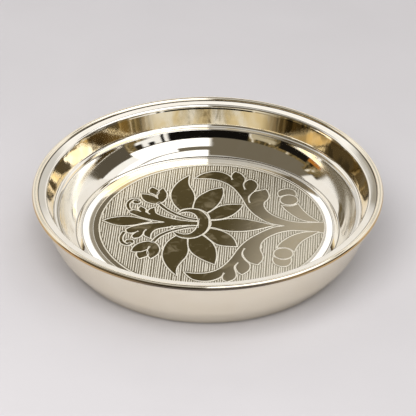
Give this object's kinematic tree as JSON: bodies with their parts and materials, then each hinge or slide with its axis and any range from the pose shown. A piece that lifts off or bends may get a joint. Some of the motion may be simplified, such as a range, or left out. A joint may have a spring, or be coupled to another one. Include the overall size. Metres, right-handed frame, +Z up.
{
  "type": "puja thali",
  "caption": "Round double-walled offering tray in polished silver-tone metal, with a rolled rim, a stepped bowl and an engraved flower medallion on the floor.",
  "frame": {"origin": "centre of the flat underside, on the surface that the tray rests on", "axes": "+Z up along the tray's round axis, out of the bowl; +X along the stem of the engraved flower to the picture's right; +Y away from the viewer"},
  "size_m": [0.178, 0.178, 0.034],
  "materials": {
    "outer_shell": "mirror polished silver-tone metal, softly brushed by wear on the outer wall",
    "inner_dish": "mirror polished silver-tone metal, with satin figures and hatched ground on the engraved floor",
    "rim_wire": "plain drawn wire, hidden inside the rolled rim"
  },
  "bodies": {
    "root": {"outer_shell": "outer_shell", "inner_dish": "inner_dish", "rim_wire": "rim_wire"}
  },
  "joints": []
}
